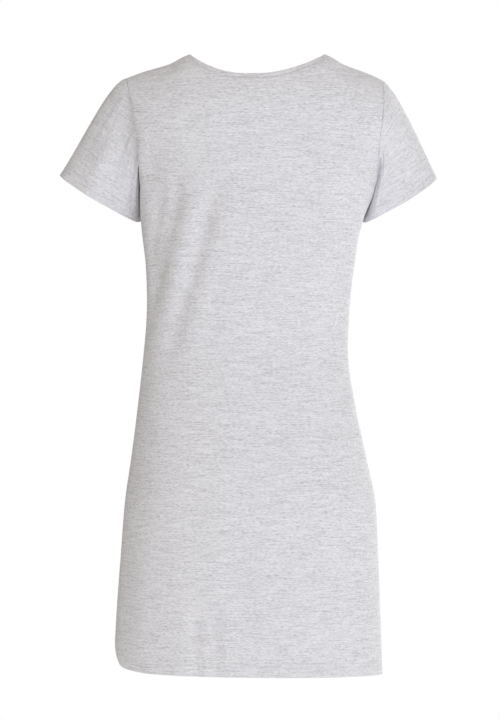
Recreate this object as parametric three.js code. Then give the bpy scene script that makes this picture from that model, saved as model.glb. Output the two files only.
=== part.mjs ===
// A short-sleeved jersey T-shirt dress, worn and hollow: back, front, two set-in sleeves and a neckband.
// Millimetres. +Z is up, the front faces -Y, and +X is the wearer's left.
// The origin lies on the line of the shoulder seams, midway between the two high shoulder points.
import * as THREE from "three";

// Cloth
const JERSEY_GREY = 0xd3d2d6;
const CLOTH = 1.2; // wall of one layer of jersey
const BAND_CLOTH = 2.2; // wall of the folded neckband
const SEAM_GAP = 0.3; // between two pieces at a seam
const BAND_GAP = 0.45; // between the thicker neckband and the panels
const HEM_TURN = 22; // depth of the turned-up bottom hem
const CUFF_TURN = 18; // depth of the turned-up sleeve hems
const TURN_STEP = 1; // height over which a turned-up layer ends

// Body sections from the hem to the shoulder tips. centre: sideways shift; half: half width of the panels;
// back, front: depth from the plane of the seams; reach: how much of the full section's half width the
// panels span, which is 1 below the armholes.
const SECTIONS = [
  { z: -880, centre: 16.2, half: 190.2, back: 112, front: 112, reach: 1 },
  { z: -790, centre: 15.6, half: 186.4, back: 111, front: 109, reach: 1 },
  { z: -700, centre: 14.0, half: 181.4, back: 111, front: 106, reach: 1 },
  { z: -628, centre: 13.2, half: 176.4, back: 110, front: 104, reach: 1 },
  { z: -565, centre: 15.2, half: 165.3, back: 104, front: 102, reach: 1 },
  { z: -500, centre: 18.0, half: 154.3, back: 94, front: 101, reach: 1 },
  { z: -430, centre: 19.5, half: 144.9, back: 84, front: 102, reach: 1 },
  { z: -365, centre: 16.2, half: 143.0, back: 84, front: 107, reach: 1 },
  { z: -300, centre: 13.4, half: 147.1, back: 90, front: 114, reach: 1 },
  { z: -240, centre: 11.4, half: 155.8, back: 95, front: 114, reach: 1 },
  { z: -183, centre: 2.0, half: 167.6, back: 97, front: 105, reach: 1 },
  { z: -150, centre: 1.6, half: 167.8, back: 97, front: 98, reach: 0.94 },
  { z: -110, centre: 1.6, half: 171.4, back: 96, front: 90, reach: 0.86 },
  { z: -75, centre: 2.2, half: 176.0, back: 92, front: 83, reach: 0.83 },
  { z: -36, centre: 6.7, half: 180.5, back: 88, front: 77, reach: 0.82 },
];
const SQUARENESS = 2.2; // exponent of the sections: 2 is an ellipse
const UNDERARM_Z = -183;
// Height where the upright panels start to round over the shoulders, and the length of that rounding
// as a share of its height
const ROUNDING = { middle: -84, tip: -122, arc: 1.3 };

// Shoulder line against the share of the panels' half width, 1 at the wearer's left tip
const SHOULDER_LINE = [
  { share: -1, z: -36.5 },
  { share: -0.86, z: -24.5 },
  { share: -0.69, z: -13.5 },
  { share: -0.56, z: -1 },
  { share: 0, z: 4 },
  { share: 0.52, z: -1 },
  { share: 0.67, z: -14 },
  { share: 0.88, z: -25.5 },
  { share: 1, z: -33 },
];

// Neck seam, from which the band stands up towards the neck. low: place of its lowest point, as a share
// of the half width; power: 2 is a parabola, and more is squarer.
const NECK_CENTRE = 3;
const NECK_HALF = 102;
const NECK = {
  back: { low: 0.12, drop: 35, power: 2.4 },
  front: { low: 0, drop: 100, power: 2.4 },
};
const BAND_WIDTH = 8;

// Bottom hem, lower on the wearer's right. On the left its last stretch tucks in towards the body, from a
// share of the half width outwards, and it curves up to the side seam.
const HEM_Z = -870;
const HEM_SLANT = 3.5;
const HEM_TUCK = { in: 13, height: 42, from: 0.2 };
const HEM_CORNER = { rise: 8, from: 0.58 };

// Sleeve hems. outer: the end away from the body; inner: the end beside it; depth: half depth from front to
// back; forward: how far the middle lies in front of the shoulder seams; fall: the way the sleeve points;
// back_drop: how far the back edge hangs below the front edge; tuck: how far the front edge turns in towards
// the body.
const CUFFS = {
  sleeve_left: {
    outer: { x: 283.5, z: -168.5 },
    inner: { x: 172, z: -235.5 },
    depth: 38, forward: 26, fall: { x: 0.57, z: -0.82 }, back_drop: 11, tuck: 30,
  },
  sleeve_right: {
    outer: { x: -252, z: -172.5 },
    inner: { x: -149, z: -235.5 },
    depth: 38, forward: 30, fall: { x: -0.43, z: -0.9 }, back_drop: 14, tuck: 28,
  },
};
const SLEEVE_START_PULL = 0.15; // share of its length over which a sleeve carries on from its armhole
const SLEEVE_END_PULL = 0.3; // share of its length over which it runs straight into its hem
const SLEEVE_MOST_FOLD = THREE.MathUtils.degToRad(165); // fold of the sleeve against the side at the underarm

// Soft troughs pressed into the panels, each from one point to another, and where along them they fade
const FOLDS = [
  { panel: "back", x0: 106, z0: -155, x1: 154, z1: -395, width: 16, depth: 5 },
  { panel: "back", x0: 53, z0: -155, x1: 128, z1: -430, width: 15, depth: 4 },
  { panel: "back", x0: 89, z0: -765, x1: 87, z1: -890, width: 14, depth: 3 },
  { panel: "back", x0: 62, z0: -750, x1: 62, z1: -890, width: 14, depth: 3 },
  { panel: "front", x0: -86, z0: -190, x1: -20, z1: -330, width: 20, depth: 4 },
  { panel: "front", x0: 92, z0: -190, x1: 30, z1: -340, width: 20, depth: 4 },
  { panel: "front", x0: -60, z0: -740, x1: -64, z1: -890, width: 20, depth: 4 },
  { panel: "front", x0: 84, z0: -770, x1: 88, z1: -890, width: 18, depth: 4 },
];
const FOLD_FADE = { start: -0.25, full: 0.3, falling: 0.75, end: 1.15 };

// Fineness of the facets
const COLUMNS = { neck: 18, shoulder: 5 };
const NECK_CROWDING = 1.6; // above 1, the neck's columns crowd towards the shoulder seams
const ROWS = { below: 19, above: 11 };
const SLEEVE_RINGS = 6;
const EVEN_COLUMNS = { from: -290, to: -130, share: 0.7 }; // heights over which the columns even out
const COLUMN_BEND = 150; // height below the underarm where the columns start to bend to their tops

const { clamp, degToRad, lerp: mix, smoothstep } = THREE.MathUtils;
const QUARTER_TURN = degToRad(90);

// A named column of a table as a smooth function of its key column.
function at(table, key, column, where) {
  const last = table.length - 1;
  if (where <= table[0][key]) return table[0][column];
  if (where >= table[last][key]) return table[last][column];
  const i = table.findIndex((row) => row[key] > where) - 1;
  const [a, b] = [table[i], table[i + 1]];
  const step = b[key] - a[key];
  const slope = (j) => {
    const before = table[Math.max(j - 1, 0)];
    const after = table[Math.min(j + 1, last)];
    return (after[column] - before[column]) / (after[key] - before[key]);
  };
  const t = (where - a[key]) / step;
  const rise = t * t * (3 - 2 * t);
  const start = t * (1 - t) * (1 - t);
  const end = t * t * (t - 1);
  return mix(a[column], b[column], rise) + step * (start * slope(i) + end * slope(i + 1));
}

const section = (column, z) => at(SECTIONS, "z", column, z);
const shoulderHeight = (share) => at(SHOULDER_LINE, "share", "z", share);

// Sideways share of a column at a height: crowded towards the side seams below the arms, where sections
// turn, and more even above.
function columnShare(u, z) {
  const { from, to, share } = EVEN_COLUMNS;
  return mix(Math.sin(u * QUARTER_TURN), u, share * smoothstep(z, from, to));
}

// A point of a panel at a sideways share. side: 1 back, -1 front; lift: 1 on the body, 0 on the shoulders.
function bodyPoint(side, share, z, lift) {
  const across = Math.min(1, Math.abs(section("reach", z) * share));
  const round = (1 - across ** SQUARENESS) ** (1 / SQUARENESS);
  const depth = section(side > 0 ? "back" : "front", z) * round * lift;
  const low = Math.max(0, (HEM_Z + HEM_TUCK.height - z) / HEM_TUCK.height);
  const tuck = HEM_TUCK.in * low * low * smoothstep(share, HEM_TUCK.from, 1);
  const x = section("centre", z) + section("half", z) * share - tuck;
  return new THREE.Vector3(x, side * (depth + SEAM_GAP / 2), z);
}

// The panels' sideways share at a place on the neck seam.
function neckShare(across, z) {
  return (NECK_CENTRE + NECK_HALF * across - section("centre", z)) / section("half", z);
}

// Height of the neck seam at a share of its half width, between its two ends on the shoulder line.
function neckHeight(side, across) {
  const { low, drop, power } = side > 0 ? NECK.back : NECK.front;
  const [right, left] = [-1, 1].map((end) => shoulderHeight(neckShare(end, 0)));
  const aside = (across - low) / (across > low ? 1 - low : 1 + low);
  return mix(right, left, (1 + across) / 2) - drop * (1 - Math.abs(aside) ** power);
}

// Columns of a panel from the wearer's right to left: shoulder, neck, shoulder. u places a column on the
// body; top and z are the share and height where it ends, on the shoulder line or the neck seam.
function panelColumns(side) {
  const count = COLUMNS.neck + 2 * COLUMNS.shoulder;
  return Array.from({ length: count + 1 }, (_, j) => {
    const u = (2 * j) / count - 1;
    const inNeck = (j - COLUMNS.shoulder) / COLUMNS.neck;
    const onSeam = inNeck <= 0 || inNeck >= 1;
    if (!onSeam) {
      const inside = Math.cos(Math.PI * inNeck);
      const across = -Math.sign(inside) * (1 - (1 - Math.abs(inside)) ** NECK_CROWDING);
      const z = neckHeight(side, across);
      return { u, top: neckShare(across, z), z, onSeam };
    }
    const end = Math.sign(u);
    const inward = (inNeck <= 0 ? j : count - j) / COLUMNS.shoulder;
    const top = mix(end, neckShare(end, 0), inward);
    return { u, top, z: shoulderHeight(top), onSeam };
  });
}

// Heights of one column's points from hem to top, and how far each has risen onto the rounded shoulder.
function columnProfile({ u, top, z: topZ }) {
  const corner = Math.max(0, (u - HEM_CORNER.from) / (1 - HEM_CORNER.from));
  const hem = HEM_Z + HEM_SLANT * u + HEM_CORNER.rise * corner * corner;
  const base = mix(ROUNDING.middle, ROUNDING.tip, top * top);
  const cap = shoulderHeight(top) - base;
  const capArc = ROUNDING.arc * cap;
  const upright = base - UNDERARM_Z;
  const lastTurn = Math.asin(clamp((topZ - base) / cap, 0, 1));
  const length = topZ < base ? topZ - UNDERARM_Z : upright + (capArc * lastTurn) / QUARTER_TURN;
  const turned = [hem, hem + HEM_TURN].map((z) => ({ z, lift: 1 }));
  const below = Array.from({ length: ROWS.below }, (_, i) => {
    return { z: mix(hem + HEM_TURN + TURN_STEP, UNDERARM_Z, i / ROWS.below), lift: 1 };
  });
  const above = Array.from({ length: ROWS.above + 1 }, (_, i) => {
    const arc = (length * i) / ROWS.above;
    const turn = Math.max(0, (arc - upright) / capArc) * QUARTER_TURN;
    return { z: turn > 0 ? base + cap * Math.sin(turn) : UNDERARM_Z + arc, lift: Math.cos(turn) };
  });
  return [...turned, ...below, ...above];
}

// How deep the folds press a panel in at a point.
function foldDepth(panel, point) {
  let depth = 0;
  for (const fold of FOLDS.filter((row) => row.panel === panel)) {
    const run = new THREE.Vector2(fold.x1 - fold.x0, fold.z1 - fold.z0);
    const reach = new THREE.Vector2(point.x - fold.x0, point.z - fold.z0);
    const along = reach.dot(run) / run.lengthSq();
    const aside = reach.cross(run) / run.length() / fold.width;
    const grown = smoothstep(along, FOLD_FADE.start, FOLD_FADE.full);
    const faded = smoothstep(along, FOLD_FADE.falling, FOLD_FADE.end);
    depth += fold.depth * Math.exp(-aside * aside) * grown * (1 - faded);
  }
  return depth;
}

// Unit normals of a grid of points, from its neighbours along and across.
function gridNormals(grid, closed) {
  const [rows, columns] = [grid.length, grid[0].length];
  return grid.map((row, i) =>
    row.map((_, j) => {
      const up = grid[Math.min(i + 1, rows - 1)][j].clone().sub(grid[Math.max(i - 1, 0)][j]);
      const next = closed ? (j + 1) % columns : Math.min(j + 1, columns - 1);
      const previous = closed ? (j + columns - 1) % columns : Math.max(j - 1, 0);
      return up.cross(row[next].clone().sub(row[previous])).normalize();
    }),
  );
}

const moved = (point, direction, distance) => point.clone().addScaledVector(direction, distance);

// The inner face of a wall: each point moved in along its normal by its row's thickness.
function innerFace(grid, normals, thickness) {
  return grid.map((row, i) => row.map((point, j) => moved(point, normals[i][j], -thickness(i))));
}

// A closed wall between an outer and an inner grid, open or closed across.
function wall(outer, inner, closed) {
  const [rows, columns] = [outer.length, outer[0].length];
  const spans = closed ? columns : columns - 1;
  const [top, end] = [rows - 1, columns - 1];
  const spot = (layer, i, j) => layer * rows * columns + i * columns + (j % columns);
  const index = [];
  const quad = (a, b, c, d) => index.push(a, b, c, a, c, d);
  for (let i = 0; i < top; i++) {
    for (let j = 0; j < spans; j++) {
      quad(spot(0, i, j), spot(0, i + 1, j), spot(0, i + 1, j + 1), spot(0, i, j + 1));
      quad(spot(1, i, j), spot(1, i, j + 1), spot(1, i + 1, j + 1), spot(1, i + 1, j));
    }
    if (!closed) {
      quad(spot(0, i, 0), spot(1, i, 0), spot(1, i + 1, 0), spot(0, i + 1, 0));
      quad(spot(0, i, end), spot(0, i + 1, end), spot(1, i + 1, end), spot(1, i, end));
    }
  }
  for (let j = 0; j < spans; j++) {
    quad(spot(0, 0, j), spot(0, 0, j + 1), spot(1, 0, j + 1), spot(1, 0, j));
    quad(spot(0, top, j), spot(1, top, j), spot(1, top, j + 1), spot(0, top, j + 1));
  }
  const positions = [...outer.flat(), ...inner.flat()].flatMap((point) => point.toArray());
  const geometry = new THREE.BufferGeometry();
  geometry.setAttribute("position", new THREE.Float32BufferAttribute(positions, 3));
  geometry.setIndex(index);
  geometry.computeVertexNormals();
  return geometry;
}

// The outer face of the back or front with its normals. Columns run so that the normals point out, and
// along the side and shoulder seams the normals lie in the plane of the seams.
function panelFace(name) {
  const side = name === "back" ? 1 : -1;
  const columns = panelColumns(side);
  if (side < 0) columns.reverse();
  const profiles = columns.map(columnProfile);
  const last = columns.length - 1;
  const top = profiles[0].length - 1;
  const underarm = top - ROWS.above;
  const seamNormals = (grid) => {
    const normals = gridNormals(grid, false);
    const level = (i, j) => normals[i][j].setY(0).normalize();
    for (let i = 0; i <= underarm; i++) {
      level(i, 0);
      level(i, last);
    }
    columns.forEach((column, j) => column.onSeam && level(top, j));
    return normals;
  };
  const smoothGrid = profiles[0].map((_, i) =>
    columns.map((column, j) => {
      const { z, lift } = profiles[j][i];
      const bend = smoothstep(z, UNDERARM_Z - COLUMN_BEND, column.z);
      return bodyPoint(side, mix(columnShare(column.u, z), column.top, bend), z, lift);
    }),
  );
  const smoothNormals = seamNormals(smoothGrid);
  const grid = smoothGrid.map((row, i) =>
    row.map((point, j) => moved(point, smoothNormals[i][j], -foldDepth(name, point))),
  );
  return { grid, normals: seamNormals(grid), underarm };
}

function panelGeometry({ grid, normals }) {
  const thickness = (row) => (row < 2 ? 2 * CLOTH : CLOTH);
  return wall(grid, innerFace(grid, normals, thickness), false);
}

// A closed loop along the edges of two panels, with the panels' normals and the direction that leads on from
// their edge. pick gives a panel's edge from its grid or its normals.
function seamLoop(first, second, pick) {
  const join = (key) => {
    const [a, b] = [pick(first, key), pick(second, key)];
    const halfway = (p, q) => p.clone().lerp(q, 0.5);
    const end = a.length - 1;
    return [halfway(b[end], a[0]), ...a.slice(1, end), halfway(a[end], b[0]), ...b.slice(1, end)];
  };
  const points = join("grid");
  const normals = join("normals").map((normal) => normal.normalize());
  const count = points.length;
  const leave = points.map((point, k) => {
    const onward = points[(k + 1) % count].clone().sub(point).normalize();
    const before = point.clone().sub(points[(k + count - 1) % count]).normalize();
    return onward.add(before).cross(normals[k]).normalize();
  });
  return { points, normals, leave };
}

// The armhole from the underarm up one panel and down the other, in the order that makes the sleeve face
// out.
function armholeLoop(back, front, isLeft) {
  const rising = isLeft ? front : back;
  const pick = (face, key) => {
    const rows = face[key].slice(face.underarm);
    return face === rising ? rows.map((row) => row[0]) : rows.map((row) => row[row.length - 1]).reverse();
  };
  return seamLoop(rising, isLeft ? back : front, pick);
}

// A point of a sleeve's hem at a turn round it, 0 at the inner end and half a turn at the outer end.
function cuffPoint({ inner, outer, depth, forward, back_drop, tuck }, fall, turn, isLeft) {
  const outward = (1 - Math.cos(turn)) / 2;
  const backward = Math.sin(turn) * (isLeft ? -1 : 1);
  const tucked = tuck * Math.max(0, -backward) * (1 - outward);
  const x = mix(inner.x, outer.x, outward) + tucked * (isLeft ? -1 : 1);
  const z = mix(inner.z, outer.z, outward);
  return moved(new THREE.Vector3(x, depth * backward - forward, z), fall, (back_drop * backward) / 2);
}

// A sleeve runs from its armhole to its hem. On the shoulder it carries on from the panels; towards the
// underarm it folds back more and more, until it hangs beside the body.
function sleeveGeometry(name, back, front) {
  const isLeft = name === "sleeve_left";
  const cuff = CUFFS[name];
  const fall = new THREE.Vector3(cuff.fall.x, 0, cuff.fall.z).normalize();
  const armhole = armholeLoop(back, front, isLeft);
  const strands = armhole.points.map((seam, k) => {
    const around = (2 * Math.PI * k) / armhole.points.length;
    const [leave, normal] = [armhole.leave[k], armhole.normals[k]];
    const end = cuffPoint(cuff, fall, around, isLeft);
    const aim = end.clone().sub(seam);
    const arrive = aim.clone().normalize().lerp(fall, (1 - Math.cos(around)) / 2).normalize();
    const fold = clamp(Math.atan2(aim.dot(normal), aim.dot(leave)), 0, SLEEVE_MOST_FOLD);
    const folded = (angle) => moved(leave.clone().multiplyScalar(Math.cos(angle)), normal, Math.sin(angle));
    const start = moved(seam, folded(fold / 2), SEAM_GAP);
    const curve = new THREE.CubicBezierCurve3(
      start,
      moved(start, folded(fold), SLEEVE_START_PULL * aim.length()),
      moved(end, arrive, -SLEEVE_END_PULL * aim.length()),
      end,
    );
    return { curve, length: curve.getLength(), normal: folded(fold + QUARTER_TURN) };
  });
  const grid = Array.from({ length: SLEEVE_RINGS + 2 }, (_, i) =>
    strands.map(({ curve, length }) => {
      const turned = 1 - CUFF_TURN / length;
      const plain = ((turned - TURN_STEP / length) * i) / (SLEEVE_RINGS - 1);
      return curve.getPointAt(i < SLEEVE_RINGS ? plain : mix(turned, 1, i - SLEEVE_RINGS));
    }),
  );
  const normals = gridNormals(grid, true);
  normals[0] = strands.map(({ normal }) => normal);
  const thickness = (ring) => (ring < SLEEVE_RINGS ? CLOTH : 2 * CLOTH);
  return wall(grid, innerFace(grid, normals, thickness), true);
}

// The neckband: a strip that carries on from the neck seam of both panels towards the neck.
function neckbandGeometry(back, front) {
  const pick = (face, key) => face[key][face.grid.length - 1].slice(COLUMNS.shoulder, -COLUMNS.shoulder);
  const seam = seamLoop(back, front, pick);
  const ring = (width) => seam.points.map((point, k) => moved(point, seam.leave[k], width));
  const outer = [ring(BAND_GAP), ring(BAND_GAP + BAND_WIDTH)];
  return wall(outer, innerFace(outer, [seam.normals, seam.normals], () => BAND_CLOTH), true);
}

function piece(name, geometry) {
  const jersey = new THREE.MeshStandardMaterial({ color: JERSEY_GREY, roughness: 0.92, metalness: 0 });
  const mesh = new THREE.Mesh(geometry, jersey);
  mesh.name = name;
  return mesh;
}

const back = panelFace("back");
const front = panelFace("front");

const dress = new THREE.Group();
dress.add(
  piece("back", panelGeometry(back)),
  piece("front", panelGeometry(front)),
  piece("sleeve_left", sleeveGeometry("sleeve_left", back, front)),
  piece("sleeve_right", sleeveGeometry("sleeve_right", back, front)),
  piece("neckband", neckbandGeometry(back, front)),
);

export default dress;
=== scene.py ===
import math

import bpy
import numpy as np
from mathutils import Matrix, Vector


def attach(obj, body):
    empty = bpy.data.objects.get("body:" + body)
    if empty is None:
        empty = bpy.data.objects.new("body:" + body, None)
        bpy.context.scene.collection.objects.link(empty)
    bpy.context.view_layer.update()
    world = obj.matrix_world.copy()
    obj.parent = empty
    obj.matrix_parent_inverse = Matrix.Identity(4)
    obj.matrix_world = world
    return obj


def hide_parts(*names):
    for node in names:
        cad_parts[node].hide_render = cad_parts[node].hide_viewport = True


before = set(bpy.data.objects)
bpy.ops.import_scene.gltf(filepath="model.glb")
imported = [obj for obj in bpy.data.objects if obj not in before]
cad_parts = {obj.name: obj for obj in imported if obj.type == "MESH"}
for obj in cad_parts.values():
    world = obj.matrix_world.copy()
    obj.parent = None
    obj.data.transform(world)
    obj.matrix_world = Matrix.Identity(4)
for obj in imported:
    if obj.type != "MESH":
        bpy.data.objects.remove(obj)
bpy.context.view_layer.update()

# A grey-melange jersey T-shirt dress, worn and hollow. Sizes are in millimetres until a mesh is made.
# +Z is up, the front faces -Y, and +X is the wearer's left.
MM = 0.001
CLOTH = 0.9  # thickness of the jersey
SEAM_GAP = 0.3  # between two pieces at a seam
BAND_GAP = 0.08  # between the neckband and the panels
FOLD = 1.2  # radius of a turned edge
ROLL = 0.7  # radius at which cloth rolls into a seam
ROLL_ARC = 1.6  # length of cloth in such a roll, in radii
BAND_ROLL = 0.2  # radius at which the neckband rolls into its seam
ALLOWANCE = 6  # cloth inside a seam
HEM_TURN = 22
CUFF_TURN = 18
HEM_STITCH_ROWS = (14.5, 19.5)  # distances from the finished edge
CUFF_STITCH_ROWS = (10.5, 15.5)
STITCH_PRESS = {"depth": 0.35, "width": 1.1}  # groove that a row of stitching presses into the cloth
PUCKER = {"depth": 0.14, "pitches": (15, 24, 34.5), "reach": 8}  # gathers beside the armhole seams
SEEDS = {"panel": 5, "panel_gathers": 9, "sleeve_gathers": 21}

# Body sections from the hem to the shoulder tips
SECTION_COLUMNS = ("z", "centre", "half", "back", "front", "reach")
SECTIONS = (
    (-880, 16.2, 190.2, 112, 112, 1),
    (-790, 15.6, 186.4, 111, 109, 1),
    (-700, 14.0, 181.4, 111, 106, 1),
    (-628, 13.2, 176.4, 110, 104, 1),
    (-565, 15.2, 165.3, 104, 102, 1),
    (-500, 18.0, 154.3, 94, 101, 1),
    (-430, 19.5, 144.9, 84, 102, 1),
    (-365, 16.2, 143.0, 84, 107, 1),
    (-300, 13.4, 147.1, 90, 114, 1),
    (-240, 11.4, 155.8, 95, 114, 1),
    (-183, 2.0, 167.6, 97, 105, 1),
    (-150, 1.6, 167.8, 97, 98, 0.94),
    (-110, 1.6, 171.4, 96, 90, 0.86),
    (-75, 2.2, 176.0, 92, 83, 0.83),
    (-36, 6.7, 180.5, 88, 77, 0.82),
)
SQUARENESS = 2.2  # exponent of the sections: 2 is an ellipse
UNDERARM_Z = -183
# Height where the panels start to round over the shoulders, and the length of that rounding as a share of its
# height
ROUNDING = {"middle": -84, "tip": -122, "arc": 1.3}

# Shoulder line against the share of the half width, 1 at the wearer's left tip
SHOULDER_COLUMNS = ("share", "z")
SHOULDER_LINE = (
    (-1, -36.5),
    (-0.86, -24.5),
    (-0.69, -13.5),
    (-0.56, -1),
    (0, 4),
    (0.52, -1),
    (0.67, -14),
    (0.88, -25.5),
    (1, -33),
)

# Neck seam. low: place of its lowest point, as a share of the half width; power: 2 is a parabola.
NECK_CENTRE = 3
NECK_HALF = 102
NECK = {
    "back": {"low": 0.12, "drop": 35, "power": 2.4},
    "front": {"low": 0, "drop": 100, "power": 2.4},
}
BAND_WIDTH = 8

# Bottom hem, lower on the wearer's right. On the left its last stretch tucks in towards the body.
HEM_Z = -870
HEM_SLANT = 3.5
HEM_TUCK = {"in": 13, "height": 42, "from": 0.2}
HEM_CORNER = {"rise": 8, "from": 0.58}  # the hem curves up to the left side seam

# Sleeve hems. outer, inner: the ends away from the body and beside it (x, z); depth: half depth from front to
# back; forward: how far the middle lies in front of the shoulder seams; fall: the way the sleeve points;
# back_drop: how far the back edge hangs below the front edge; tuck: how far the front edge turns in.
CUFFS = {
    "sleeve_left": {
        "outer": (283.5, -168.5),
        "inner": (172, -235.5),
        "depth": 38,
        "forward": 26,
        "fall": (0.57, -0.82),
        "back_drop": 11,
        "tuck": 30,
    },
    "sleeve_right": {
        "outer": (-252, -172.5),
        "inner": (-147.5, -235.5),
        "depth": 38,
        "forward": 30,
        "fall": (-0.43, -0.9),
        "back_drop": 14,
        "tuck": 28,
    },
}
# The left sleeve's edge sinks behind its armhole seam at the back. Places round the sleeve: 0 at the
# underarm, 0.5 at the shoulder.
SUNK_EDGE = {"sleeve": "sleeve_left", "depth": 7, "start": 0.58, "full": 0.76, "falling": 0.95, "end": 1}
SLEEVE_START_PULL = 0.15  # share of its length over which a sleeve carries on from its armhole
SLEEVE_END_PULL = 0.3  # share of its length over which it runs straight into its hem
SLEEVE_MOST_FOLD = math.radians(165)  # fold of the sleeve against the side at the underarm

# Creases of the panels: a bent line through three points (x, z), its half width and depth. A crease with a
# negative depth is a ridge. lean is the side on which a softer ridge runs beside it.
CREASE_COLUMNS = ("panel", "start", "middle", "end", "width", "depth", "lean")
CREASES = (
    ("back", (106, -155), (131, -258), (160, -395), 13, 7.0, -1),
    ("back", (52, -155), (87, -278), (134, -450), 13, 5.2, -1),
    ("back", (134, -175), (147, -245), (159, -325), 9, 4.2, -1),
    ("back", (166, -112), (166, -165), (159, -240), 11, -5.0, 1),
    ("back", (-114, -115), (-118, -175), (-116, -245), 11, -1.2, 1),
    ("back", (89, -765), (88, -820), (87, -880), 9, 3.4, 1),
    ("back", (62, -750), (62, -815), (62, -880), 9, 3.4, -1),
    ("back", (-97, -119), (-110, -118), (-126, -113), 5, 1.0, 1),
    ("back", (-88, -130), (-112, -150), (-138, -160), 9, 1.2, 1),
    ("back", (-128, -270), (-112, -350), (-84, -440), 18, 1.6, 1),
    ("back", (-120, -700), (-126, -780), (-132, -880), 20, 2.0, 1),
    ("front", (-98, -165), (-70, -250), (-18, -345), 13, 6.0, 1),
    ("front", (104, -165), (78, -250), (28, -360), 13, 6.4, -1),
    ("front", (-128, -185), (-106, -240), (-76, -285), 9, 3.0, 1),
    ("front", (130, -190), (110, -244), (86, -305), 9, 2.8, -1),
    ("front", (-128, -395), (-84, -436), (-24, -446), 12, 3.4, 1),
    ("front", (150, -390), (108, -432), (52, -452), 12, 3.8, -1),
    ("front", (-60, -690), (-60, -790), (-64, -880), 14, 5.0, 1),
    ("front", (84, -720), (85, -800), (88, -880), 13, 4.6, -1),
    ("front", (16, -765), (15, -820), (14, -880), 11, 2.6, 1),
)
CREASE_FADE = {"start": -0.02, "full": 0.35, "falling": 0.68, "end": 1.05}
# The softer ridge beside a crease, in shares of the crease's sizes
CREASE_RIDGE = {"height": 0.26, "away": 2.1, "spread": 1.4}
CREASE_SAMPLES = 32
SEAM_HOLD = 0.07  # share of the half width over which creases fade out at the side seams
ARMHOLE_HOLD = {"share": 0.02, "rise": 30}  # the same at the armholes, reached that far above the underarm

# Creases of the sleeves. turn: place round the sleeve, 0 at the underarm seam, 0.5 at the shoulder; start and
# end: shares of the length from the armhole to the cuff; drift: how far round it moves on the way.
SLEEVE_CREASE_COLUMNS = ("sleeve", "turn", "start", "end", "drift", "width", "depth")
SLEEVE_CREASES = (
    ("sleeve_left", 0.70, 0.05, 1.5, 0.02, 0.045, -4.8),
    ("sleeve_left", 0.15, -0.1, 0.9, 0.06, 0.024, 2.4),
    ("sleeve_left", 0.30, 0.2, 1.2, 0.04, 0.03, 1.8),
    ("sleeve_right", 0.17, 0.4, 1.7, 0.0, 0.06, 2.8),
    ("sleeve_right", 0.27, 0.2, 1.2, 0.05, 0.03, 1.2),
    ("sleeve_right", 0.85, -0.1, 0.9, -0.06, 0.024, 2.4),
    ("sleeve_right", 0.70, 0.2, 1.2, -0.04, 0.03, 1.8),
)
# The softer ridge beside a sleeve's crease, in shares of the crease's depth and width
SLEEVE_CREASE_RIDGE = {"height": 0.35, "away": 2}

# Fineness of the meshes
NECK_COLUMNS = 72
TIP_COLUMNS = 20
NECK_CROWDING = 1.1  # above 1, the neck's columns crowd towards the shoulder seams
NECK_TAPER = 4  # columns over which the shoulder seam's roll ends at the neck
HEM_ROWS = (0, 3.5, 7, 10.5, 13.2, 14.5, 15.8, 17, 18.2, 19.5, 20.8)  # distances from the finished edge
ROWS_BELOW = 168
ROWS_ABOVE = 66
CUFF_ROWS = (0, 3, 6, 9.2, 10.5, 11.8, 13, 14.2, 15.5, 16.8)
SLEEVE_RINGS = 34
STRAND_SAMPLES = 61  # along a sleeve's strand, to measure it
ROLL_STEPS = 4
BAND_STEPS = 4
EVEN_COLUMNS = {"from": -290, "to": -130, "share": 0.7}  # heights over which the columns even out
COLUMN_BEND = 150  # height below the underarm where the columns start to bend to their tops
QUARTER_TURN = math.pi / 2


def mix(a, b, share):
    return a + (b - a) * share


def smoothstep(value, low, high):
    t = np.clip((value - low) / (high - low), 0, 1)
    return t * t * (3 - 2 * t)


def unit(vectors):
    return vectors / np.maximum(np.linalg.norm(vectors, axis=-1, keepdims=True), 1e-9)


def dot(a, b):
    return np.sum(a * b, axis=-1)


def smooth_table(columns, rows):
    """A function that reads a named column of a table as a smooth function of its first column."""
    values = np.array(rows, float)
    key = values[:, 0]
    last = len(key) - 1
    order = np.arange(last + 1)
    before = np.maximum(order - 1, 0)
    after = np.minimum(order + 1, last)
    slope = (values[after] - values[before]) / (key[after] - key[before])[:, None]

    def read(column, where):
        c = columns.index(column)
        where = np.clip(where, key[0], key[-1])
        i = np.clip(np.searchsorted(key, where, side="right") - 1, 0, last - 1)
        step = key[i + 1] - key[i]
        t = (where - key[i]) / step
        value = mix(values[i, c], values[i + 1, c], t * t * (3 - 2 * t))
        return value + step * (t * (1 - t) ** 2 * slope[i, c] + t * t * (t - 1) * slope[i + 1, c])

    return read


section = smooth_table(SECTION_COLUMNS, SECTIONS)
shoulder = smooth_table(SHOULDER_COLUMNS, SHOULDER_LINE)


def side_name(side):
    return "back" if side > 0 else "front"


def column_share(u, z):
    even = EVEN_COLUMNS["share"] * smoothstep(z, EVEN_COLUMNS["from"], EVEN_COLUMNS["to"])
    return mix(np.sin(u * QUARTER_TURN), u, even)


def section_depth(side, share, z, lift):
    across = np.minimum(1, np.abs(section("reach", z) * share))
    rounded = (1 - across**SQUARENESS) ** (1 / SQUARENESS)
    return section(side_name(side), z) * rounded * lift


def body_points(side, share, z, lift):
    low = np.maximum(0, (HEM_Z + HEM_TUCK["height"] - z) / HEM_TUCK["height"])
    tuck = HEM_TUCK["in"] * low * low * smoothstep(share, HEM_TUCK["from"], 1)
    x = section("centre", z) + section("half", z) * share - tuck
    y = side * (section_depth(side, share, z, lift) + SEAM_GAP / 2)
    return np.stack([x, y, z], axis=-1)


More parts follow.
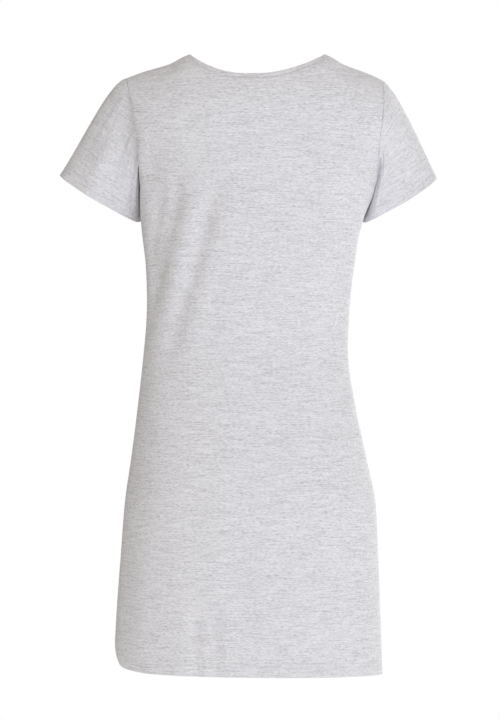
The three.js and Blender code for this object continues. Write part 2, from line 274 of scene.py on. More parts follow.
def width_from_middle(side, share, z, lift, steps=24):
    """Length of cloth across a panel from its middle to each point."""
    parts = np.linspace(0, 1, steps + 1)
    shares = share[..., None] * parts
    x = section("half", z)[..., None] * shares
    y = section_depth(side, shares, z[..., None], lift[..., None])
    length = np.hypot(np.diff(x, axis=-1), np.diff(y, axis=-1)).sum(axis=-1)
    return np.sign(share) * length


def neck_share(across, z):
    return (NECK_CENTRE + NECK_HALF * across - section("centre", z)) / section("half", z)


def neck_height(side, across):
    neck = NECK[side_name(side)]
    right, left = (shoulder("z", neck_share(end, 0)) for end in (-1, 1))
    low = neck["low"]
    aside = (across - low) / np.where(across > low, 1 - low, 1 + low)
    return mix(right, left, (1 + across) / 2) - neck["drop"] * (1 - np.abs(aside) ** neck["power"])


def panel_columns(side):
    """Columns across a panel: place on the body, and share and height where each ends."""
    count = NECK_COLUMNS + 2 * TIP_COLUMNS
    j = np.arange(count + 1)
    if side < 0:
        j = j[::-1]
    u = 2 * j / count - 1
    inside = np.cos(np.pi * np.clip((j - TIP_COLUMNS) / NECK_COLUMNS, 0, 1))
    across = -np.sign(inside) * (1 - (1 - np.abs(inside)) ** NECK_CROWDING)
    neck_z = neck_height(side, across)
    end = np.sign(u)
    inward = np.minimum(j, count - j) / TIP_COLUMNS
    on_shoulder = inward <= 1
    tip = mix(end, neck_share(end, 0), np.minimum(inward, 1))
    top = np.where(on_shoulder, tip, neck_share(across, neck_z))
    top_z = np.where(on_shoulder, shoulder("z", tip), neck_z)
    return u, top, top_z, on_shoulder


def rounding_base(share):
    """Height where a panel starts to round over the shoulder."""
    return mix(ROUNDING["middle"], ROUNDING["tip"], share**2)


def surface_normals(side, share, z, step=0.001):
    """Normals of a panel's plain surface, which rounds over towards the shoulders."""
    base = rounding_base(share)
    rise = (z - base) / (shoulder("z", share) - base)
    turn = np.where(rise > 0, np.arcsin(np.clip(rise, 0, 1)), rise)

    def point(share, turn):
        base = rounding_base(share)
        z = base + (shoulder("z", share) - base) * np.where(turn > 0, np.sin(turn), turn)
        return body_points(side, share, z, np.cos(np.maximum(turn, 0)))

    up = point(share, turn + step) - point(share, turn - step)
    left = point(share + step, turn) - point(share - step, turn)
    return unit(side * np.cross(up, left))


def panel_rows(u, top, top_z):
    """Heights of each column's points, how upright the panel is there, and the length along the cloth."""
    corner = np.maximum(0, (u - HEM_CORNER["from"]) / (1 - HEM_CORNER["from"]))
    hem = HEM_Z + HEM_SLANT * u + HEM_CORNER["rise"] * corner**2
    base = rounding_base(top)
    cap = shoulder("z", top) - base
    cap_arc = ROUNDING["arc"] * cap
    upright = base - UNDERARM_Z
    last_turn = np.arcsin(np.clip((top_z - base) / cap, 0, 1))
    length = np.where(top_z < base, top_z - UNDERARM_Z, upright + cap_arc * last_turn / QUARTER_TURN)
    turned = hem + np.array(HEM_ROWS)[:, None]
    rising = np.linspace(0, 1, ROWS_BELOW, endpoint=False)[:, None]
    below = np.vstack([turned, mix(hem + HEM_TURN, UNDERARM_Z, rising)])
    arc = length * np.linspace(0, 1, ROWS_ABOVE + 1)[:, None]
    turn = np.maximum(0, (arc - upright) / cap_arc) * QUARTER_TURN
    above = np.where(turn > 0, base + cap * np.sin(turn), UNDERARM_Z + arc)
    z = np.vstack([below, above])
    lift = np.vstack([np.ones_like(below), np.cos(turn)])
    height = np.vstack([below, UNDERARM_Z + arc])
    return z, lift, height


def grid_normals(grid, closed=False):
    """Unit normals of a grid of points, from the neighbours along and across."""
    up = np.empty_like(grid)
    up[1:-1] = grid[2:] - grid[:-2]
    up[0] = grid[1] - grid[0]
    up[-1] = grid[-1] - grid[-2]
    if closed:
        right = np.roll(grid, -1, axis=1) - np.roll(grid, 1, axis=1)
    else:
        right = np.empty_like(grid)
        right[:, 1:-1] = grid[:, 2:] - grid[:, :-2]
        right[:, 0] = grid[:, 1] - grid[:, 0]
        right[:, -1] = grid[:, -1] - grid[:, -2]
    return unit(np.cross(up, right))


def crease_depth(panel, points):
    """How deep the creases press a panel in."""
    depth = np.zeros(points.shape[:-1])
    flat = points[..., (0, 2)]
    t = np.linspace(0, 1, CREASE_SAMPLES)
    for row in CREASES:
        crease = dict(zip(CREASE_COLUMNS, row, strict=True))
        if crease["panel"] != panel:
            continue
        start, middle, end = (np.array(crease[key], float) for key in ("start", "middle", "end"))
        control = 2 * middle - (start + end) / 2
        line = (
            np.outer((1 - t) ** 2, start) + np.outer(2 * t * (1 - t), control) + np.outer(t * t, end)
        )
        run = unit(np.gradient(line, axis=0))
        apart = flat[..., None, :] - line
        nearest = np.argmin(dot(apart, apart), axis=-1)
        away = np.take_along_axis(apart, nearest[..., None, None], axis=-2)[..., 0, :]
        way = run[nearest]
        aside = (way[..., 0] * away[..., 1] - way[..., 1] * away[..., 0]) / crease["width"]
        past = dot(way, away) / np.linalg.norm(end - start)
        along = t[nearest] + past
        grown = smoothstep(along, CREASE_FADE["start"], CREASE_FADE["full"])
        faded = smoothstep(along, CREASE_FADE["falling"], CREASE_FADE["end"])
        if crease["end"][1] < HEM_Z:
            faded = 0
        from_ridge = aside - CREASE_RIDGE["away"] * crease["lean"]
        beside = CREASE_RIDGE["height"] * np.exp(-(from_ridge**2) / CREASE_RIDGE["spread"])
        depth += crease["depth"] * grown * (1 - faded) * (np.exp(-(aside**2)) - beside)
    return depth


def unevenness(a, b, seed, waves=14, longest=170, shortest=55, height=0.68):
    """A gentle seeded waviness over two lengths along the cloth."""
    rng = np.random.default_rng(seed)
    total = np.zeros_like(a)
    for _ in range(waves):
        length = rng.uniform(shortest, longest)
        way = rng.uniform(0, math.pi)
        phase = rng.uniform(0, 2 * math.pi)
        total += height * np.sin(2 * math.pi * (a * math.cos(way) + b * math.sin(way)) / length + phase)
    return total / math.sqrt(waves)


def stitched(from_edge, rows):
    """How deep rows of stitching press the cloth in, against the distance from its finished edge."""
    apart = from_edge[..., None] - np.array(rows)
    return (STITCH_PRESS["depth"] * np.exp(-((apart / STITCH_PRESS["width"]) ** 2))).sum(axis=-1)


def puckers(along, away, seed):
    """How deep the gathers beside a seam press the cloth in, at a place along the seam and away from it."""
    rng = np.random.default_rng(seed)
    wave = np.zeros_like(along)
    for pitch in PUCKER["pitches"]:
        phase = rng.uniform(0, 2 * math.pi)
        wave = wave + np.sin(2 * math.pi * along / pitch + phase)
    return PUCKER["depth"] * wave * np.exp(-((away / PUCKER["reach"]) ** 2))


class Sheet:
    """A piece of cloth as points, places on the flat cloth, and faces."""

    def __init__(self, name):
        self.name = "cloth_" + name
        self.points = []
        self.places = []
        self.faces = []
        self.count = 0

    def add(self, points, places):
        """Adds rows of points and gives their numbers."""
        points = np.asarray(points, float)
        shape = points.shape[:-1]
        number = int(np.prod(shape))
        self.points.append(points.reshape(-1, 3))
        self.places.append(np.asarray(places, float).reshape(-1, 2))
        numbers = np.arange(self.count, self.count + number).reshape(shape)
        self.count += number
        return numbers

    def join(self, numbers):
        """Faces over a grid of point numbers."""
        a, b = numbers[:-1, :-1], numbers[1:, :-1]
        c, d = numbers[1:, 1:], numbers[:-1, 1:]
        self.faces.append(np.stack([a, b, c, d], axis=-1).reshape(-1, 4))

    def object(self, material):
        points = np.concatenate(self.points) * MM
        places = np.concatenate(self.places) * MM
        mesh = bpy.data.meshes.new(self.name)
        mesh.from_pydata(points.tolist(), [], np.concatenate(self.faces).tolist())
        corners = np.empty(len(mesh.loops), np.int32)
        mesh.loops.foreach_get("vertex_index", corners)
        layer = mesh.uv_layers.new(name="grain")
        layer.data.foreach_set("uv", places[corners].astype(np.float32).ravel())
        mesh.polygons.foreach_set("use_smooth", np.ones(len(mesh.polygons), bool))
        mesh.materials.append(material)
        piece = bpy.data.objects.new(self.name, mesh)
        bpy.context.scene.collection.objects.link(piece)
        cloth = piece.modifiers.new("cloth", "SOLIDIFY")
        cloth.thickness = CLOTH * MM
        cloth.offset = -1
        return piece


def rolled(edge, outward, inward, radius=ROLL):
    """Rows of points that roll from an edge into its seam. The cloth before it stops a radius short of it."""
    rows = []
    for step in range(1, ROLL_STEPS + 1):
        t = step / ROLL_STEPS
        rows.append(edge - outward * radius * (1 - t) ** 2 + inward * ROLL * t * t)
    rows.append(edge + inward * ALLOWANCE)
    return np.stack(rows)


def roll_lengths():
    """How far the rows of rolled() lie along the cloth from where the roll begins."""
    rolling = ROLL_ARC * ROLL * np.arange(1, ROLL_STEPS + 1) / ROLL_STEPS
    return np.append(rolling, rolling[-1] + ALLOWANCE - ROLL)


def turned_under(rows, normals):
    """A turned edge, from inside to the finished edge. rows run from the finished edge into the cloth."""
    outward = unit(rows[0] - rows[1])
    inner = (rows - normals * 2 * FOLD)[1:][::-1]
    rounded = []
    for step in range(2 * ROLL_STEPS, 0, -1):
        turn = math.pi * step / (2 * ROLL_STEPS)
        centre = rows[0] - outward * FOLD - normals[0] * FOLD
        rounded.append(centre + FOLD * (outward * math.sin(turn) + normals[0] * math.cos(turn)))
    return np.concatenate([inner, np.stack(rounded)])


class Panel:
    """The outer face of the back or front with its normals."""

    def __init__(self, side):
        self.name = side_name(side)
        u, top, top_z, self.on_shoulder = panel_columns(side)
        z, lift, self.height = panel_rows(u, top, top_z)
        bend = smoothstep(z, UNDERARM_Z - COLUMN_BEND, top_z)
        share = mix(column_share(u, z), top, bend)
        self.underarm = len(HEM_ROWS) + ROWS_BELOW
        smooth = body_points(side, share, z, lift)
        self.across = -side * width_from_middle(side, share, z, lift)
        plain_normals = surface_normals(side, share, z)
        self.top_normals = plain_normals[-1]
        depth = crease_depth(self.name, smooth)
        depth += unevenness(self.across, self.height, seed=SEEDS["panel"] + side)
        above = smoothstep(z, UNDERARM_Z, UNDERARM_Z + ARMHOLE_HOLD["rise"])
        depth *= smoothstep(1 - np.abs(share), 0, mix(SEAM_HOLD, ARMHOLE_HOLD["share"], above))
        depth += stitched(self.height - self.height[0], HEM_STITCH_ROWS)
        for column in (0, -1):
            away = np.abs(self.across - self.across[:, column, None])[self.underarm :]
            seed = SEEDS["panel_gathers"] + column + side
            depth[self.underarm :] += puckers(self.height[self.underarm :], away, seed)
        self.points = smooth - self.at_seams(plain_normals) * depth[..., None]
        self.normals = self.at_seams(grid_normals(self.points))

    def at_seams(self, normals):
        """Normals in the plane of the side and shoulder seams, and those of the plain surface at the neck."""
        normals = normals.copy()
        for j in (0, -1):
            normals[: self.underarm + 1, j, 1] = 0
        normals[-1, self.neck_columns()] = self.top_normals[self.neck_columns()]
        normals[-1, self.on_shoulder, 1] = 0
        return unit(normals)

    def neck_columns(self):
        return slice(TIP_COLUMNS, TIP_COLUMNS + NECK_COLUMNS + 1)


def seam_loop(first, second):
    """A loop along two edges, each (points, normals), with the direction that leads on from the panels."""
    joined = []
    for a, b in zip(first, second, strict=True):
        start, middle = (b[-1] + a[0]) / 2, (a[-1] + b[0]) / 2
        joined.append(np.concatenate([start[None], a[1:-1], middle[None], b[1:-1]]))
    points, normals = joined[0], unit(joined[1])
    onward = unit(np.roll(points, -1, axis=0) - points)
    before = unit(points - np.roll(points, 1, axis=0))
    leave = unit(np.cross(onward + before, normals))
    return points, normals, leave


def bezier(t, *controls):
    a, b, c, d = controls
    return (1 - t) ** 3 * a + 3 * t * (1 - t) ** 2 * b + 3 * t * t * (1 - t) * c + t**3 * d


class Sleeve:
    """The outer face of a sleeve, ring by ring from its armhole, closed round."""

    def __init__(self, name, back, front):
        self.name = name
        self.is_left = name == "sleeve_left"
        cuff = CUFFS[name]
        fall = unit(np.array([cuff["fall"][0], 0, cuff["fall"][1]]))
        rising, falling = (front, back) if self.is_left else (back, front)
        edges = []
        for panel, column, order in ((rising, 0, 1), (falling, -1, -1)):
            rows = slice(panel.underarm, None)
            edges.append([grid[rows, column][::order] for grid in (panel.points, panel.normals)])
        seam, normal, leave = seam_loop(*edges)
        count = len(seam)
        turn = 2 * math.pi * np.arange(count) / count
        outward = (1 - np.cos(turn))[:, None] / 2
        way = -1 if self.is_left else 1
        backward = np.sin(turn) * way
        end = np.empty_like(seam)
        end[:, (0, 2)] = mix(np.array(cuff["inner"], float), np.array(cuff["outer"], float), outward)
        end[:, 0] += cuff["tuck"] * np.maximum(0, -backward) * (1 - outward[:, 0]) * way
        end[:, 1] = cuff["depth"] * backward - cuff["forward"]
        end += fall * (cuff["back_drop"] * backward / 2)[:, None]
        aim = end - seam
        pull = np.linalg.norm(aim, axis=-1, keepdims=True)
        arrive = unit(mix(unit(aim), fall, outward))
        fold = np.clip(np.arctan2(dot(aim, normal), dot(aim, leave)), 0, SLEEVE_MOST_FOLD)

        def folded(angle):
            return leave * np.cos(angle)[:, None] + normal * np.sin(angle)[:, None]

        self.inward = folded(fold / 2 - QUARTER_TURN)
        self.heading = folded(fold)
        around = turn / (2 * math.pi)
        self.start = seam + folded(fold / 2) * SEAM_GAP
        if name == SUNK_EDGE["sleeve"]:
            sinking = smoothstep(around, SUNK_EDGE["start"], SUNK_EDGE["full"])
            ending = smoothstep(around, SUNK_EDGE["falling"], SUNK_EDGE["end"])
            self.start += self.inward * (SUNK_EDGE["depth"] * sinking * (1 - ending))[:, None]
        controls = (
            self.start,
            self.start + self.heading * SLEEVE_START_PULL * pull,
            end - arrive * SLEEVE_END_PULL * pull,
            end,
        )
        smooth, self.lengths = self.rings(controls)
        normals = grid_normals(smooth, closed=True)
        normals[0] = folded(fold + QUARTER_TURN)
        depth = self.creases(around)
        depth += stitched(self.lengths[-1] - self.lengths, CUFF_STITCH_ROWS)
        step = np.linalg.norm(np.roll(seam, -1, axis=0) - seam, axis=-1)
        along_seam = np.broadcast_to(np.cumsum(step), depth.shape)
        depth += puckers(along_seam, self.lengths, SEEDS["sleeve_gathers"] + self.is_left)
        self.points = smooth - normals * depth[..., None]
        self.normals = grid_normals(self.points, closed=True)
        self.normals[0] = normals[0]
        girth = np.linalg.norm(np.roll(self.points, -1, axis=1) - self.points, axis=-1)
        self.around = np.cumsum(girth, axis=1) - girth / 2

    def rings(self, controls):
        """Points of the rings, evenly along each strand with closer rows over the cuff, and their lengths."""
        t = np.linspace(0, 1, STRAND_SAMPLES)
        fine = bezier(t[:, None, None], *controls)
        steps = np.linalg.norm(np.diff(fine, axis=0), axis=-1)
        run = np.vstack([np.zeros(steps.shape[1]), np.cumsum(steps, axis=0)])
        total = run[-1]
        plain = (total - CUFF_TURN) * np.linspace(0, 1, SLEEVE_RINGS, endpoint=False)[:, None]
        turned = total - np.array([CUFF_TURN, *CUFF_ROWS[::-1]])[:, None]
        lengths = np.vstack([plain, turned])
        points = np.empty((*lengths.shape, 3))
        for k in range(lengths.shape[1]):
            where = np.interp(lengths[:, k], run[:, k], t)[:, None]
            points[:, k] = bezier(where, *(control[k] for control in controls))
        return points, lengths

    def creases(self, turn):
        share = self.lengths / self.lengths[-1]
        depth = np.zeros_like(share)
        for row in SLEEVE_CREASES:
            crease = dict(zip(SLEEVE_CREASE_COLUMNS, row, strict=True))
            if crease["sleeve"] != self.name:
                continue
            along = (share - crease["start"]) / (crease["end"] - crease["start"])
            aside = (turn - crease["turn"] - crease["drift"] * along) / crease["width"]
            fade = np.sin(math.pi * np.clip(along, 0, 1))
            from_ridge = aside - SLEEVE_CREASE_RIDGE["away"]
            beside = SLEEVE_CREASE_RIDGE["height"] * np.exp(-(from_ridge**2))
            depth += crease["depth"] * fade * (np.exp(-(aside**2)) - beside)
        return depth


def panel_sheet(panel, armholes):
    """The cut panel: its face, turned hem, and the allowances rolled into its seams."""
    sheet = Sheet(panel.name)
    points, normals = panel.points.copy(), panel.normals
    inward = {0: -normals[:, 0], -1: -normals[:, -1]}
    for column, way in armholes.items():
        inward[column] = inward[column].copy()
        inward[column][panel.underarm :] = way
    edges = {0: points[:, 0].copy(), -1: points[:, -1].copy()}
    outward = {0: unit(points[:, 0] - points[:, 1]), -1: unit(points[:, -1] - points[:, -2])}
    top = points[-1].copy()
    top_outward = unit(np.cross(np.gradient(top, axis=0), normals[-1]))
    place = np.arange(len(top))
    beyond_neck = TIP_COLUMNS - np.minimum(place, place[::-1])
    top_radius = ROLL * np.clip(beyond_neck / NECK_TAPER, 0, 1)[:, None]
    points[-1] -= top_outward * top_radius
    for column in (0, -1):
        points[:, column] -= outward[column] * ROLL
    places = np.stack([panel.across, panel.height], axis=-1)
    turned = slice(0, len(HEM_ROWS) + 1)
    under = turned_under(points[turned], normals[turned])
    points[0] -= unit(panel.points[0] - panel.points[1]) * FOLD
    under_places = np.repeat(places[:1], len(under), axis=0)
    drop = np.linspace(HEM_TURN, 0, len(under), endpoint=False)
    under_places[..., 1] -= drop[:, None]
    main = sheet.add(points, places)
    hem = sheet.add(under, under_places)
    sheet.join(np.vstack([hem, main]))
    lengths = roll_lengths()
    for column, sign in ((0, -1), (-1, 1)):
        rows = rolled(edges[column], outward[column], inward[column])
        spots = np.repeat(places[None, :, column], len(rows), axis=0)
        spots[..., 0] += (sign * lengths)[:, None] * np.sign(places[0, -1, 0] - places[0, 0, 0])
        strip = sheet.add(rows, spots)
        if sign > 0:
            sheet.join(np.column_stack([main[:, -1], *strip]))
        else:
            sheet.join(np.column_stack([*strip[::-1], main[:, 0]]))
    rows = rolled(top, top_outward, -normals[-1], top_radius)
    spots = np.repeat(places[-1:], len(rows), axis=0)
    spots[..., 1] += lengths[:, None]
    strip = sheet.add(rows, spots)
    sheet.join(np.vstack([main[-1:], strip]))
    return sheet


def opened(grid):
    """A closed grid with its first column repeated at the end."""
    return np.concatenate([grid, grid[:, :1]], axis=1)


def sleeve_sheet(sleeve):
    """The cut sleeve: its face, turned cuff, and the allowance rolled into the armhole seam."""
    sheet = Sheet(sleeve.name)
    points, normals = sleeve.points.copy(), sleeve.normals
    points[0] = sleeve.start + sleeve.heading * ROLL
    places = np.stack([sleeve.around, sleeve.lengths - sleeve.lengths[-1]], axis=-1)
    cuff = slice(-1, -len(CUFF_ROWS) - 2, -1)
    under = turned_under(points[cuff], normals[cuff])
    points[-1] -= unit(sleeve.points[-1] - sleeve.points[-2]) * FOLD
    drop = np.linspace(0, CUFF_TURN, len(under) + 1)[1:]
    under_places = np.repeat(places[-1:], len(under), axis=0)
    under_places[..., 1] += drop[:, None]
    rows = rolled(sleeve.start, -sleeve.heading, sleeve.inward)[::-1]
    lengths = roll_lengths()[::-1]
    spots = np.repeat(places[:1], len(rows), axis=0)
    spots[..., 1] -= lengths[:, None]
    grid = np.concatenate([rows, points, under[::-1]])
    grid_places = np.concatenate([spots, places, under_places])
    main = sheet.add(grid, grid_places)
    sheet.join(opened(main))
    return sheet


def neckband_sheet(loop):
    """The folded neckband: a strip out of the neck seam, folded over at its top edge and back down inside."""
    sheet = Sheet("neckband")
    points, normals, leave = loop
    profile = [(BAND_GAP, -ALLOWANCE), (BAND_GAP, -BAND_ROLL)]
    for step in range(1, ROLL_STEPS + 1):
        t = step / ROLL_STEPS
        profile.append((BAND_GAP + BAND_ROLL * t * t, -BAND_ROLL * (1 - t) ** 2))
    for step in range(1, BAND_STEPS):
        profile.append((mix(BAND_GAP + BAND_ROLL, BAND_WIDTH - FOLD, step / BAND_STEPS), 0))
    for step in range(2 * ROLL_STEPS + 1):
        turn = math.pi * step / (2 * ROLL_STEPS)
        profile.append((BAND_WIDTH - FOLD + FOLD * math.sin(turn), -FOLD * (1 - math.cos(turn))))
    profile.append((BAND_GAP + ROLL, -2 * FOLD))
    profile = np.array(profile)
    grid = points + profile[:, None, :1] * leave + profile[:, None, 1:] * normals
    run = np.append(0, np.cumsum(np.linalg.norm(np.diff(profile, axis=0), axis=-1)))
    step = np.linalg.norm(np.roll(points, -1, axis=0) - points, axis=-1)
    around = np.cumsum(step) - step
    places = np.stack(np.broadcast_arrays(around[None, :], run[:, None]), axis=-1)
    main = sheet.add(grid, places)
    sheet.join(opened(main))
    return sheet


# Stitching. rise and dip: how far a stitch's middle and ends lie from the cloth, in shares of its height;
# end_girth: share of its girth that is left at its ends; ahead: step along the seam that gives its direction.
STITCH = {
    "pitch": 3.1,
    "length": 2.5,
    "width": 0.5,
    "height": 0.32,
    "rise": 0.5,
    "dip": 0.4,
    "end_girth": 0.35,
    "ahead": 0.5,
    "sides": 6,
    "rings": 4,
}


def between_rows(grid, distances, where):
    """The points of a grid at a distance from its first row, read between two rows."""
    place = np.interp(where, distances, np.arange(len(distances)))
    i = int(min(place, len(distances) - 2))
    return mix(grid[i], grid[i + 1], place - i)


def stitch_line(points, normals, closed):
    """Middles, directions and normals of the stitches along a line of points."""
    if closed:
        points = np.concatenate([points, points[:1]])
        normals = np.concatenate([normals, normals[:1]])
    run = np.append(0, np.cumsum(np.linalg.norm(np.diff(points, axis=0), axis=-1)))
    count = int(run[-1] / STITCH["pitch"])
    where = (np.arange(count) + 0.5) * run[-1] / count
    spots, ups = (
        np.stack([np.interp(where, run, values[:, k]) for k in range(3)], axis=-1)
        for values in (points, normals)
    )
    further = where + STITCH["ahead"]
    ahead = np.stack([np.interp(further, run, points[:, k]) for k in range(3)], axis=-1)
    return spots, unit(ahead - spots), unit(ups)


def stitches_object(lines, material):
    """All stitches as one mesh of small rounded threads that dip into the cloth at both ends."""
    spots, ways, ups = (np.concatenate(parts) for parts in zip(*lines, strict=True))
    sideways = np.cross(ways, ups)
    turn = 2 * math.pi * np.arange(STITCH["sides"]) / STITCH["sides"]
    along = np.linspace(-1, 1, STITCH["rings"])
    points, faces = [], []
    for a in along:
        girth = mix(STITCH["end_girth"], 1, math.sqrt(max(0, 1 - a * a)))
        rise = STITCH["height"] * mix(STITCH["rise"], -STITCH["dip"], a * a)
        middle = spots + ways * (a * STITCH["length"] / 2) + ups * rise
        for angle in turn:
            side = sideways * (math.cos(angle) * STITCH["width"] / 2 * girth)
            points.append(middle + side + ups * (math.sin(angle) * STITCH["height"] / 2 * girth))
    points = np.stack(points, axis=1)
    sides = STITCH["sides"]
    for ring in range(STITCH["rings"] - 1):
        for k in range(sides):
            after = (k + 1) % sides
            low, high = ring * sides, (ring + 1) * sides
            faces.append((low + k, low + after, high + after, high + k))
    start = np.arange(len(spots))[:, None, None] * points.shape[1]
    corners = (np.array(faces) + start).reshape(-1, 4)
    mesh = bpy.data.meshes.new("stitches")
    mesh.from_pydata((points.reshape(-1, 3) * MM).tolist(), [], corners.tolist())
    mesh.polygons.foreach_set("use_smooth", np.ones(len(mesh.polygons), bool))
    mesh.materials.append(material)
    piece = bpy.data.objects.new("stitches", mesh)
    bpy.context.scene.collection.objects.link(piece)
    return piece


class Nodes:
    """Short ways to add and link the nodes of a material or a world."""

    def __init__(self, owner, shader="Principled BSDF"):
        owner.use_nodes = True
        self.tree = owner.node_tree
        self.shader = self.tree.nodes[shader]

    def add(self, kind, **settings):
        node = self.tree.nodes.new(kind)
        for key, value in settings.items():
            setattr(node, key, value)
        return node

    def put(self, socket, value):
        if isinstance(value, bpy.types.NodeSocket):
            self.tree.links.new(value, socket)
        else:
            socket.default_value = value

    def set(self, node, values):
        for key, value in values.items():
            node.inputs[key].default_value = value

    def math(self, operation, *values):
        node = self.add("ShaderNodeMath", operation=operation)
        for socket, value in zip(node.inputs, values, strict=False):
            self.put(socket, value)
        return node.outputs[0]

    def noise(self, place, scale):
        """Noise over the flat cloth. scale is repeats a metre across and along."""
        mapping = self.add("ShaderNodeMapping")
        mapping.inputs["Scale"].default_value = (*scale, 1)
        self.put(mapping.inputs["Vector"], place)
        noise = self.add("ShaderNodeTexNoise", noise_dimensions="2D")
        noise.inputs["Scale"].default_value = 1
        self.put(noise.inputs["Vector"], mapping.outputs[0])
        return noise.outputs[0]

    def ramp(self, value, stops):
        """Colours between stops, each (position, colour)."""
        ramp = self.add("ShaderNodeValToRGB")
        while len(ramp.color_ramp.elements) < len(stops):
            ramp.color_ramp.elements.new(0.5)
        for element, (position, colour) in zip(ramp.color_ramp.elements, stops, strict=True):
            element.position = position
            element.color = (*colour, 1)
        self.put(ramp.inputs[0], value)
        return ramp.outputs[0]


# Melange: pale and dark fibres in courses that run across the cloth, each slipped along by its own amount
COURSES = {"count": 1050, "slip": 0.5}
STREAKS = {"scale": (200, 950), "share": 0.53}
LONG_STREAKS = {"scale": (36, 720), "share": 0.37}
CLOUDS = {"scale": (22, 40), "share": 0.10}
FLECKS = {"scale": (260, 1100), "from": 0.62, "to": 0.72, "share": 0.088}
MELANGE_RAMP = (
    (0.30, (0.425, 0.421, 0.442)),
    (0.48, (0.710, 0.704, 0.735)),
    (0.66, (0.875, 0.870, 0.908)),
)
JERSEY_SURFACE = {"Roughness": 0.95, "Specular IOR Level": 0.15, "Sheen Weight": 0.08, "Sheen Roughness": 0.6}
JERSEY_BUMP = {"Strength": 0.35, "Distance": 0.0006}
THREAD_RAMP = ((0, (0.46, 0.455, 0.475)), (1, (0.68, 0.675, 0.70)))
THREAD_SCALE = 900
THREAD_SURFACE = {"Roughness": 0.8}


def jersey_material():
    material = bpy.data.materials.new("jersey")
    nodes = Nodes(material)
    flat = nodes.add("ShaderNodeSeparateXYZ")
    nodes.put(flat.inputs[0], nodes.add("ShaderNodeUVMap", uv_map="grain").outputs[0])
    course = nodes.math("FLOOR", nodes.math("MULTIPLY", flat.outputs["Y"], COURSES["count"]))
    slip = nodes.add("ShaderNodeTexWhiteNoise", noise_dimensions="1D")
    nodes.put(slip.inputs["W"], course)
    place = nodes.add("ShaderNodeCombineXYZ")
    slipped = nodes.math("MULTIPLY_ADD", slip.outputs[0], COURSES["slip"], flat.outputs["X"])
    nodes.put(place.inputs["X"], slipped)
    nodes.put(place.inputs["Y"], flat.outputs["Y"])
    place = place.outputs[0]
    parts = [
        nodes.math("MULTIPLY", nodes.noise(place, layer["scale"]), layer["share"])
        for layer in (STREAKS, LONG_STREAKS, CLOUDS)
    ]
    blend = nodes.math("ADD", nodes.math("ADD", parts[0], parts[1]), parts[2])
    fleck = nodes.add("ShaderNodeMapRange", interpolation_type="SMOOTHSTEP")
    nodes.set(fleck, {"From Min": FLECKS["from"], "From Max": FLECKS["to"], "To Max": FLECKS["share"]})
    nodes.put(fleck.inputs["Value"], nodes.noise(place, FLECKS["scale"]))
    blend = nodes.math("SUBTRACT", blend, fleck.outputs[0])
    nodes.put(nodes.shader.inputs["Base Color"], nodes.ramp(blend, MELANGE_RAMP))
    nodes.set(nodes.shader, JERSEY_SURFACE)
    bump = nodes.add("ShaderNodeBump")
    nodes.set(bump, JERSEY_BUMP)
    nodes.put(bump.inputs["Height"], blend)
    nodes.put(nodes.shader.inputs["Normal"], bump.outputs[0])
    return material


def thread_material():
    material = bpy.data.materials.new("thread")
    nodes = Nodes(material)
    coordinates = nodes.add("ShaderNodeTexCoord")
    noise = nodes.add("ShaderNodeTexNoise")
    noise.inputs["Scale"].default_value = THREAD_SCALE
    nodes.put(noise.inputs["Vector"], coordinates.outputs["Object"])
    nodes.put(nodes.shader.inputs["Base Color"], nodes.ramp(noise.outputs[0], THREAD_RAMP))
    nodes.set(nodes.shader, THREAD_SURFACE)
    return material


back, front = Panel(1), Panel(-1)
sleeves = {name: Sleeve(name, back, front) for name in CUFFS}


def armhole_ways(panel):
    """The seam allowances' directions up a panel's two armhole edges."""
    found = {}
    for sleeve in sleeves.values():
        rising = front if sleeve.is_left else back
        half = ROWS_ABOVE + 1
        loop = np.concatenate([sleeve.inward, sleeve.inward[:1]])
        if panel is rising:
            found[0] = loop[:half]
        else:
            found[-1] = loop[half - 1 :][::-1]
    return found


jersey = jersey_material()
pieces = {}
for panel in (back, front):
    pieces[panel.name] = panel_sheet(panel, armhole_ways(panel)).object(jersey)
for name, sleeve in sleeves.items():
    pieces[name] = sleeve_sheet(sleeve).object(jersey)
neck_edges = [
    [grid[-1, panel.neck_columns()] for grid in (panel.points, panel.normals)] for panel in (back, front)
]
neck_loop = seam_loop(*neck_edges)
pieces["neckband"] = neckband_sheet(neck_loop).object(jersey)

lines = []
for panel in (back, front):
    heights = (panel.height - panel.height[0])[: len(HEM_ROWS) + 1, 0]
    for where in HEM_STITCH_ROWS:
        spots = between_rows(panel.points, heights, where)
        ups = between_rows(panel.normals, heights, where)
        lines.append(stitch_line(spots, ups, closed=False))
for sleeve in sleeves.values():
    from_cuff = (sleeve.lengths[-1] - sleeve.lengths)[: -len(CUFF_ROWS) - 2 : -1, 0]
    for where in CUFF_STITCH_ROWS:
        spots = between_rows(sleeve.points[::-1], from_cuff, where)
        ups = between_rows(sleeve.normals[::-1], from_cuff, where)
        lines.append(stitch_line(spots, ups, closed=True))
stitches = stitches_object(lines, thread_material())

# Each piece and the stitches hang from the root, and each piece's CAD part is hidden
for name, piece in pieces.items():
    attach(piece, "root")
    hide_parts(name)
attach(stitches, "root")
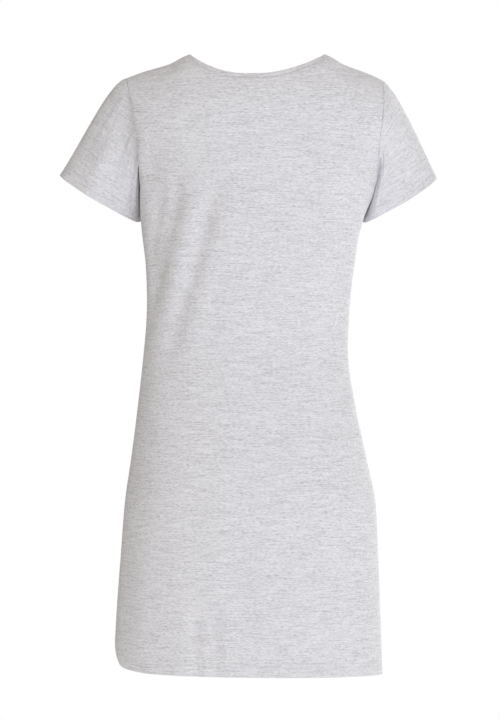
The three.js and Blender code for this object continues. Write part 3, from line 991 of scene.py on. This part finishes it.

# Stage: a pale floor below the hem that glows faintly as painted bounce light, soft light, and the camera
# behind the wearer
FLOOR_Z = -1.38
FLOOR_SIZE = 12
FLOOR_FADE = {"from": 1.2, "to": 3.0}  # distances over which the floor fades into the white surround
# The floor's emission is a painted glow: it lights the lower dress and its underside from below like bounce
# light.
FLOOR_SURFACE_AND_GLOW = {
    "Base Color": (0.92, 0.92, 0.92, 1),
    "Roughness": 0.9,
    "Emission Color": (1, 1, 1, 1),
    "Emission Strength": 0.25,
}
floor_mesh = bpy.data.meshes.new("floor")
reach = FLOOR_SIZE / 2
corners = [(-reach, -reach, 0), (reach, -reach, 0), (reach, reach, 0), (-reach, reach, 0)]
floor_mesh.from_pydata(corners, [], [(0, 1, 2, 3)])
floor = bpy.data.objects.new("floor", floor_mesh)
floor.location.z = FLOOR_Z
bpy.context.scene.collection.objects.link(floor)
floor_material = bpy.data.materials.new("floor")
nodes = Nodes(floor_material)
nodes.set(nodes.shader, FLOOR_SURFACE_AND_GLOW)
distance = nodes.add("ShaderNodeVectorMath", operation="LENGTH")
nodes.put(distance.inputs[0], nodes.add("ShaderNodeTexCoord").outputs["Object"])
fade = nodes.add("ShaderNodeMapRange", interpolation_type="SMOOTHSTEP")
nodes.put(fade.inputs["Value"], distance.outputs["Value"])
nodes.set(fade, {"From Min": FLOOR_FADE["from"], "From Max": FLOOR_FADE["to"], "To Min": 1, "To Max": 0})
nodes.put(nodes.shader.inputs["Alpha"], fade.outputs[0])
floor_mesh.materials.append(floor_material)

AIM = Vector((0.0134, 0.0, -0.431))
CAMERA = {"lens": 177, "sensor": 36, "distance": 5.0}
LIGHTS = (
    # name, place, size, watts, colour
    ("key", (-2.0, 2.75, -1.15), 1.7, 24.8, (0.955, 0.997, 1.085)),
    ("fill", (1.8, 2.9, -1.15), 1.7, 18.2, (0.965, 0.997, 1.075)),
    ("side", (-4.5, -1.6, -1.0), 2.4, 47, (0.97, 0.99, 1.03)),
    ("front", (-2.0, -4.0, 0.6), 2.6, 120, (0.98, 0.99, 1.02)),
    ("top", (0.0, 0.2, 2.2), 2.6, 19, (0.98, 0.99, 1.02)),
)
for name, place, size, watts, colour in LIGHTS:
    lamp = bpy.data.lights.new(name, "AREA")
    lamp.size = size
    lamp.energy = watts
    lamp.color = colour
    light = bpy.data.objects.new(name, lamp)
    light.location = place
    light.rotation_euler = (AIM - Vector(place)).to_track_quat("-Z", "Y").to_euler()
    bpy.context.scene.collection.objects.link(light)

# The surround is bright behind the wearer, where the camera is, and dim in front. The camera sees it white.
SURROUND_TOWARDS = (-0.38, 0.90, -0.21)
SURROUND_RAMP = ((0, (0.05, 0.042, 0.034)), (0.5, (0.40, 0.358, 0.275)), (1, (0.80, 0.805, 0.825)))
world = bpy.data.worlds.new("studio")
bpy.context.scene.world = world
nodes = Nodes(world, "Background")
direction = nodes.add("ShaderNodeVectorMath", operation="DOT_PRODUCT")
nodes.put(direction.inputs[0], nodes.add("ShaderNodeTexCoord").outputs["Generated"])
direction.inputs[1].default_value = SURROUND_TOWARDS
half = 0.5  # turns the range from -1 to 1 into one from 0 to 1
share = nodes.math("MULTIPLY_ADD", direction.outputs["Value"], half, half)
nodes.put(nodes.shader.inputs["Color"], nodes.ramp(share, SURROUND_RAMP))
seen = nodes.add("ShaderNodeBackground")
seen.inputs["Color"].default_value = (1, 1, 1, 1)
choose = nodes.add("ShaderNodeMixShader")
nodes.put(choose.inputs[0], nodes.add("ShaderNodeLightPath").outputs["Is Camera Ray"])
nodes.put(choose.inputs[1], nodes.shader.outputs[0])
nodes.put(choose.inputs[2], seen.outputs[0])
nodes.put(nodes.tree.nodes["World Output"].inputs["Surface"], choose.outputs[0])

bpy.context.scene.view_settings.view_transform = "Standard"
camera_data = bpy.data.cameras.new("camera")
camera_data.lens = CAMERA["lens"]
camera_data.sensor_width = CAMERA["sensor"]
camera = bpy.data.objects.new("camera", camera_data)
camera.location = (AIM.x, CAMERA["distance"], AIM.z)
camera.rotation_euler = (QUARTER_TURN, 0, math.pi)
bpy.context.scene.collection.objects.link(camera)
bpy.context.scene.camera = camera
